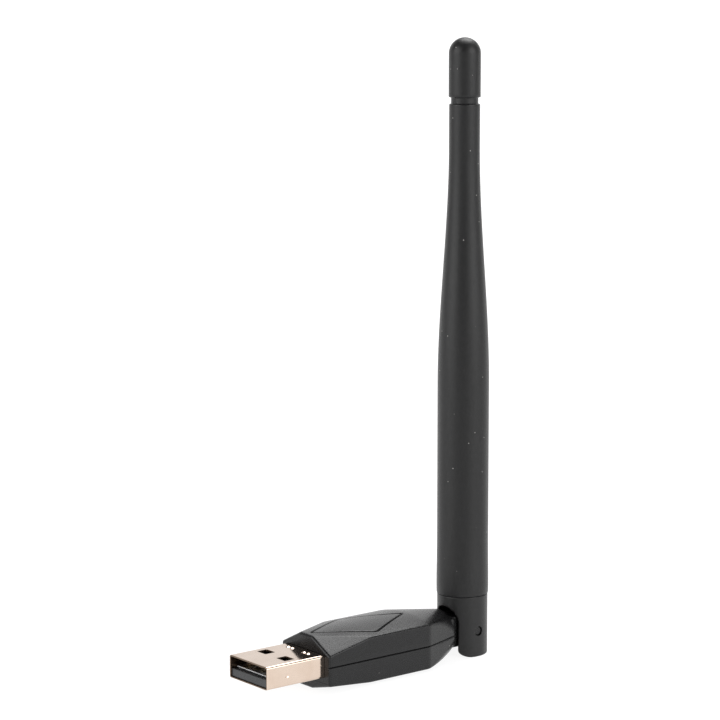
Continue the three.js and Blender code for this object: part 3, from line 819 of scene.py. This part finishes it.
def build_housing():
    shells = []
    for name, quarter in [("top_cover", upper_quarter), ("base_cover", lower_quarter)]:
        shell = housing_half(name, quarter)
        cut(shell, housing_cavity())
        cut(shell, plug_opening())
        cut(shell, rod("bore", "x", (0, 0), BORE_RADIUS, COLLAR_X - BORE_DEPTH, COLLAR_X + 1))
        shells.append(shell)
    cut(shells[0], inlay_pocket())
    finished(settle(shells[0]), "housing_top_shell", "dongle")
    finished(settle(shells[1]), "housing_bottom_shell", "dongle")
    finished(settle(inlay_plate()), "top_inlay_plate", "dongle")


# ---- USB plug ----
PLUG_WALL, PLUG_CORNER = 0.3, 0.45
PIP_X, PIP_YS, PIP_RADIUS, PIP_HEIGHT = 11.95, (1.93, 3.2), 0.74, 0.24  # the pressed bumps on top
DIMPLE_X, DIMPLE_Z, DIMPLE_RADIUS, DIMPLE_DEPTH = 4.72, -0.08, 0.52, 0.07
DIMPLE_FLAT = 0.55  # share of its radius that is flat
WINDOW_X, WINDOW_Y, WINDOW_HALF = 6.53, 3.09, (1.16, 1.38)
WINDOW_CORNER = 0.15
RIM = 0.1
JOINT_HALF_WIDTH, JOINT_DEPTH = 0.03, 0.06  # of the line where the sheet meets under the plug


def dome(distance):
    """1 in the middle, 0 from 1 outwards, with a soft foot."""
    return np.cos(np.clip(distance, 0, 1) * np.pi / 2) ** 2


def plug_loop(x, inset):
    near = np.arange(PIP_YS[0] - 0.78, PIP_YS[1] + 0.8, 0.1)
    tops = np.unique(np.round(np.concatenate([near, -near, np.arange(-5, 5.1, 1.0), [-0.05, 0.05]]), 3))
    sides = np.unique(np.round(np.concatenate([np.arange(-0.64, 0.5, 0.07), [-1.4, 1.1]]), 3))
    half_a, half_b = PLUG_HALF_WIDTH - inset, PLUG_HALF_HEIGHT - inset
    radius = max(PLUG_CORNER - inset, 0.12)
    loop = rounded_rectangle(half_a, half_b, radius, 8, tops, sides)
    y, z = loop.T.copy()
    flat_top = np.abs(np.abs(z) - half_b) < 1e-6
    pips = [dome(np.hypot(x - PIP_X, np.abs(y) - pip_y) / PIP_RADIUS) for pip_y in PIP_YS]
    z = z + np.where(flat_top & (z > 0), PIP_HEIGHT * np.maximum(*pips), 0)
    joint = flat_top & (z < 0) & (np.abs(y) < JOINT_HALF_WIDTH)
    z = z + np.where(joint, JOINT_DEPTH, 0)
    flat_side = np.abs(np.abs(y) - half_a) < 1e-6
    dimple = (np.hypot(x - DIMPLE_X, z - DIMPLE_Z) / DIMPLE_RADIUS - DIMPLE_FLAT) / (1 - DIMPLE_FLAT)
    y = y - np.sign(y) * np.where(flat_side, DIMPLE_DEPTH * dome(dimple), 0)
    return along("x", y, z, x)


def build_plug():
    rim = [(RIM * (1 - np.sin(a)), RIM * (1 - np.cos(a))) for a in np.linspace(0, np.pi / 2, 4)]
    middle = np.unique(np.round(np.concatenate([
        np.arange(0.5, PLUG_REAR, 0.9),
        np.arange(DIMPLE_X - 0.56, DIMPLE_X + 0.58, 0.07),
        np.arange(PIP_X - 0.8, PIP_X + 0.85, 0.1),
    ]), 3))
    loops = [plug_loop(x, inset) for inset, x in rim]
    loops += [plug_loop(x, 0) for x in middle]
    loops += [plug_loop(PLUG_REAR, 0), plug_loop(PLUG_REAR, PLUG_WALL)]
    loops += [plug_loop(x, PLUG_WALL) for x in middle[::-1]]
    loops += [plug_loop(x, PLUG_WALL - inset) for inset, x in rim[::-1]]
    shell = ring_loft("plug", loops)
    for side in (-1, 1):
        outline = rounded_rectangle(*WINDOW_HALF, WINDOW_CORNER, 4) + np.array([WINDOW_X, side * WINDOW_Y])
        cut(shell, prism("window", "z", outline, -4, 4))
    finished(settle(shell), "usb_plug_shell", "dongle")


def build_tongue():
    low, high = TONGUE_LOW, TONGUE_HIGH
    outline = [
        (low[0], low[2]), (high[0], low[2]), (high[0], high[2]), (BLOCK_FRONT, high[2]),
        (BLOCK_FRONT, TONGUE_TOP), (LIP_REAR, TONGUE_TOP), (LIP_REAR - 0.1, TONGUE_TOP - 0.12),
        (LIP_REAR - 0.1, TONGUE_TOP - 0.4), (low[0], TONGUE_TOP - LIP_DROP)]
    body = prism("tongue", "y", outline, low[1], high[1])
    bevel = body.modifiers.new("bevel", "BEVEL")
    bevel.width = 0.05
    bevel.segments = 2
    bevel.limit_method = "ANGLE"
    bake(body)
    for node in ("ground", "data_plus", "data_minus", "vbus"):
        contact_low, contact_high = box_mm(f"usb_contact_{node}")
        channel = box("channel", (BLOCK_FRONT - 0.5, contact_low[1] - 0.1, TONGUE_TOP),
                      (PLUG_REAR + 1, contact_high[1] + 0.1, 0.25))
        cut(body, channel)
    finished(settle(body), "usb_insulator", "dongle")


# ---- swivel knuckle, hinge pins and fork, about the line of the pins ----
CHANNEL_RADIUS = 0.9  # for the cable
NECK_HALF_WIDTH, NECK_HALF_HEIGHT, NECK_GAP, NECK_REAR = 2.95, 3.0, 0.15, 49.0
EAR_RADIUS, EAR_HALF_WIDTH, EAR_FRONT = 3.2, 2.7, 48.7
SHAFT_RADIUS, SHAFT_MIDDLE, SHAFT_HALF_LENGTH = 2.2, 46.2, 2.05
FLANGE_RADIUS, FLANGE_MIDDLE, FLANGE_HALF_LENGTH = 2.9, 44.72, 0.47
CABLE_SLOT_FRONT, KNUCKLE_PIN_HOLE = 50.62, 0.91
FORK_RADIUS, FORK_ROUNDING, FORK_TOP, FORK_PIN_HOLE = 5.1, 5.7, 7.26, 0.98
SLOT_HALF_WIDTH, SLOT_TOP, SLOT_ARCH, SLOT_PAST_PIN = 3.12, 5.1, 3.1, 3.6
SPIGOT_RADIUS, SPIGOT_MIDDLE, SPIGOT_HALF_LENGTH = 4.05, 9.4, 2.8
PIN_INNER, PIN_OUTER = 1.2, 4.72
GRID_STEP, GRID_MARGIN = 0.16, 0.35


def knuckle_shape(p):
    x, y, z = p[:, 0], p[:, 1], p[:, 2] - PIN_Z
    neck = both(np.abs(y) - NECK_HALF_WIDTH, np.abs(z) - NECK_HALF_HEIGHT, 0.5)
    neck = both(both(neck, x - NECK_REAR, 0.2), COLLAR_X + NECK_GAP - x, 0.1)
    profile = np.where(x > PIN_X, np.hypot(x - PIN_X, z), np.abs(z)) - EAR_RADIUS
    ear = both(both(profile, np.abs(y) - EAR_HALF_WIDTH, 0.3), EAR_FRONT - x, 0.1)
    shape = either(neck, ear, 0.15)
    around = np.hypot(y, p[:, 2])
    shaft = both(around - SHAFT_RADIUS, np.abs(x - SHAFT_MIDDLE) - SHAFT_HALF_LENGTH, 0.1)
    flange = both(around - FLANGE_RADIUS, np.abs(x - FLANGE_MIDDLE) - FLANGE_HALF_LENGTH, 0.1)
    shape = np.minimum(shape, np.minimum(shaft, flange))
    slot = both(np.abs(y) - CHANNEL_RADIUS, CABLE_SLOT_FRONT - x, 0.2)
    slot = np.maximum(slot, -CHANNEL_RADIUS - p[:, 2])
    shape = both(shape, -slot, 0.15)
    bore = np.maximum(around - CHANNEL_RADIUS, x - PIN_X)
    shape = np.maximum(shape, -bore)
    return np.maximum(shape, KNUCKLE_PIN_HOLE - np.hypot(x - PIN_X, z))


def fork_shape(p):
    x, y, z = p[:, 0] - PIN_X, p[:, 1], p[:, 2]
    around = np.hypot(x, y)
    body = both(around - FORK_RADIUS, FLOOR_Z - z, 0.2)
    body = both(body, np.hypot(np.minimum(x, 0), np.minimum(z - PIN_Z, 0)) - FORK_ROUNDING, 0.3)
    body = both(body, z - FORK_TOP, 0.06)
    slot = both(np.abs(y) - SLOT_HALF_WIDTH, z - SLOT_TOP, SLOT_ARCH)
    slot = both(slot, x - SLOT_PAST_PIN, 0.5)
    body = both(body, -slot, 0.3)
    spigot = np.maximum(around - SPIGOT_RADIUS, np.abs(z - SPIGOT_MIDDLE) - SPIGOT_HALF_LENGTH)
    body = np.minimum(body, spigot)
    return np.maximum(body, CHANNEL_RADIUS - around)


def pin(name, node, side):
    profile = [
        (0.0, PIN_INNER), (0.8, PIN_INNER), (0.88, PIN_INNER + 0.08), (0.88, PIN_OUTER - 0.12),
        (0.85, PIN_OUTER - 0.04), (0.77, PIN_OUTER), (0.3, PIN_OUTER - 0.03), (0.0, PIN_OUTER - 0.03),
    ]  # radius, and distance from the middle plane
    angle = np.linspace(0, 2 * np.pi, PIN_STEPS, endpoint=False)
    loops = []
    for r, y in profile:
        radius = max(r, 0.02)
        loops.append(along("y", PIN_X + radius * np.cos(angle), PIN_Z + radius * np.sin(angle), side * y))
    finished(settle(closed_loft(name, loops)), node, "swivel")


def build_hinge():
    low, high = KNUCKLE_LOW - GRID_MARGIN, KNUCKLE_HIGH + GRID_MARGIN
    knuckle = meshed("knuckle", knuckle_shape, low, high, GRID_STEP)
    finished(settle(knuckle, sharp=50, weighted=False), "swivel_knuckle", "swivel")
    pin("pin_near", "hinge_pin_near", -1)
    pin("pin_far", "hinge_pin_far", 1)
    fork = meshed("fork", fork_shape, FORK_LOW - GRID_MARGIN, FORK_HIGH + GRID_MARGIN, GRID_STEP)
    cut(fork, rod("pin_hole", "y", (PIN_X, PIN_Z), FORK_PIN_HOLE, -8, 8))
    finished(settle(fork, sharp=50, weighted=False), "antenna_fork", "antenna")


# ---- antenna sheath ----
SHEATH_RADIUS, TIP_RADIUS, CAP_RADIUS = 5.16, 3.06, 3.16
TAPER_Z = (50.0, 97.0)
GROOVE_Z, GROOVE_RADIUS = (105.55, 106.95), 2.69
GROOVE_EDGE = [(0.0, 0.0), (0.03, 0.09), (0.1, 0.15)]  # the drop and the step along its soft edge
FOOT_EDGE = [(5.1, 0.0), (5.16, 0.02), (5.2, 0.06), (5.21, 0.12)]  # radius, and height over the bottom
FOOT_RADII = (5.21, 5.24, 5.25, 5.235, 5.2, SHEATH_RADIUS)
FOOT_HEIGHTS = (8.4, 9.6, 11.5, 13.7, 18)  # of the radii after the first, which is at the bottom
SHEATH_WALL, SHEATH_BORE_TOP = 0.95, 100.0
SOCKET_RADIUS, SOCKET_TOP = 4.17, 49.0  # where the fork's spigot sits


def sheath_radius(z):
    share = np.clip((z - TAPER_Z[0]) / (TAPER_Z[1] - TAPER_Z[0]), 0, 1)
    return lerp(SHEATH_RADIUS, TIP_RADIUS, share * share * (3 - 2 * share))


def build_sheath():
    bottom, top = SHEATH_LOW[2], SHEATH_HIGH[2]
    profile = [(radius, bottom + height) for radius, height in FOOT_EDGE]
    foot_z = np.linspace(bottom + 0.5, FOOT_HEIGHTS[-1], 16)
    foot = np.interp(foot_z, [bottom, *FOOT_HEIGHTS], FOOT_RADII)
    profile += list(zip(foot, foot_z))
    profile += [(SHEATH_RADIUS, z) for z in np.linspace(20, 49, 12)]
    profile += [(sheath_radius(z), z) for z in np.linspace(*TAPER_Z, 60)]
    profile += [(TIP_RADIUS, z) for z in np.linspace(98.5, GROOVE_Z[0] - 0.3, 5)]
    profile += [(TIP_RADIUS - drop, GROOVE_Z[0] - 0.12 + step) for drop, step in GROOVE_EDGE]
    profile += [(GROOVE_RADIUS + 0.06, GROOVE_Z[0] + 0.1), (GROOVE_RADIUS, GROOVE_Z[0] + 0.2)]
    profile += [(GROOVE_RADIUS, GROOVE_Z[1] - 0.2), (GROOVE_RADIUS + 0.06, GROOVE_Z[1] - 0.1)]
    profile += [(CAP_RADIUS - drop, GROOVE_Z[1] + 0.12 - step) for drop, step in GROOVE_EDGE[::-1]]
    dome_z = top - CAP_RADIUS
    profile += [(CAP_RADIUS, z) for z in np.linspace(GROOVE_Z[1] + 0.6, dome_z - 0.4, 4)]
    angles = np.linspace(0, np.pi / 2, 22)
    profile += [(CAP_RADIUS * np.cos(a) if i < 21 else 0.0, dome_z + CAP_RADIUS * np.sin(a))
                for i, a in enumerate(angles)]
    profile += [(0.0, SHEATH_BORE_TOP), (TIP_RADIUS - SHEATH_WALL, SHEATH_BORE_TOP)]
    profile += [(sheath_radius(z) - SHEATH_WALL, z) for z in np.linspace(*TAPER_Z[::-1], 12)]
    profile += [(SOCKET_RADIUS, SOCKET_TOP), (SOCKET_RADIUS, bottom + 0.1), (SOCKET_RADIUS + 0.1, bottom)]
    finished(settle(lathe("sheath", profile)), "antenna_sheath", "antenna")


build_housing()
build_plug()
build_tongue()
build_hinge()
build_sheath()

for node, obj in frame["nodes"].items():
    if not obj.hide_render:
        obj.data.materials.clear()
        obj.data.materials.append(finishes[slot_of[node]])

# ---- floor, light and camera ----
scene = bpy.context.scene
scene.view_settings.view_transform = "Standard"

REACH = 200.0  # metres, so that the floor meets the horizon
FLOOR_GLOW = 0.9  # a partly self-lit floor, which keeps the shadow faint
corners = [(-REACH, -REACH, 0), (REACH, -REACH, 0), (REACH, REACH, 0), (-REACH, REACH, 0)]
floor = new_object("floor", corners, [(0, 1, 2, 3)])
paper = Finish("floor_paper")
paper_tone = paper.mix(paper.noise(0.004, 3.0), (0.21, 0.21, 0.21), (0.23, 0.23, 0.23))
paper.shader.inputs["Emission Color"].default_value = (1.0, 1.0, 1.0, 1.0)
paper.shader.inputs["Emission Strength"].default_value = FLOOR_GLOW
floor.data.materials.append(paper.finish(paper_tone, 0.9, specular=0.1))

# azimuth, elevation, full within and gone beyond (degrees), and radiance: soft panels in a dim room
ROOM = 0.2
PANELS = [
    (141.4, 0.0, 56.0, 68.0, 0.80),
    (122.0, 61.0, 17.0, 27.0, 5.9),
    (-102.0, 14.0, 16.0, 30.0, 4.0),
    (15.0, 14.0, 16.0, 30.0, 4.0),
]
BACKDROP_TOP = (27.0, 39.0)  # the first panel fades out between these elevations

world = bpy.data.worlds.new("studio")
scene.world = world
world.use_nodes = True
tree = world.node_tree
direction = tree.nodes.new("ShaderNodeTexCoord").outputs["Generated"]
background = tree.nodes["Background"]


def smooth_range(source, low, high, to_low, to_high):
    """A smooth step of the source, from to_low where it is low to to_high where it is high."""
    made = tree.nodes.new("ShaderNodeMapRange")
    made.interpolation_type = "SMOOTHSTEP"
    tree.links.new(source, made.inputs["Value"])
    for key, value in {"From Min": low, "From Max": high, "To Min": to_low, "To Max": to_high}.items():
        made.inputs[key].default_value = value
    return made


total = None
for azimuth, elevation, full, gone, radiance in PANELS:
    a, e = math.radians(azimuth), math.radians(elevation)
    facing = tree.nodes.new("ShaderNodeVectorMath")
    facing.operation = "DOT_PRODUCT"
    tree.links.new(direction, facing.inputs[0])
    facing.inputs[1].default_value = (math.sin(a) * math.cos(e), -math.cos(a) * math.cos(e), math.sin(e))
    outer, inner = math.cos(math.radians(gone)), math.cos(math.radians(full))
    panel = smooth_range(facing.outputs["Value"], outer, inner, 0.0, radiance)
    if total is None:
        height = tree.nodes.new("ShaderNodeSeparateXYZ")
        tree.links.new(direction, height.inputs["Vector"])
        low, high = (math.sin(math.radians(angle)) for angle in BACKDROP_TOP)
        fade = smooth_range(height.outputs["Z"], low, high, radiance, 0.0)
        tree.links.new(fade.outputs["Result"], panel.inputs["To Max"])
    add = tree.nodes.new("ShaderNodeMath")
    tree.links.new(panel.outputs["Result"], add.inputs[0])
    if total is None:
        add.inputs[1].default_value = ROOM
    else:
        tree.links.new(total, add.inputs[1])
    total = add.outputs["Value"]
tree.links.new(total, background.inputs["Strength"])
background.inputs["Color"].default_value = (1.0, 1.0, 1.0, 1.0)

AZIMUTH, ELEVATION, ROLL = math.radians(-38.5526), math.radians(8.5948), math.radians(-0.094)
LENS_MM, SENSOR_MM = 120.158, 36.0
EYE_MM = Vector((-258.1446, -358.0810, 126.4355))

camera_data = bpy.data.cameras.new("camera")
camera_data.lens = LENS_MM
camera_data.sensor_width = SENSOR_MM
camera_data.clip_start, camera_data.clip_end = 0.01, 900.0
camera = bpy.data.objects.new("camera", camera_data)
scene.collection.objects.link(camera)
scene.camera = camera
level = math.cos(ELEVATION)
back = Vector((math.sin(AZIMUTH) * level, -math.cos(AZIMUTH) * level, math.sin(ELEVATION)))
right = Vector((math.cos(AZIMUTH), math.sin(AZIMUTH), 0.0))
up = back.cross(right)
turned = Matrix.Rotation(ROLL, 3, back)
axes = Matrix((turned @ right, turned @ up, back)).transposed()
camera.rotation_mode = "QUATERNION"
camera.rotation_quaternion = axes.to_quaternion()
camera.location = ORIGIN + EYE_MM * MM
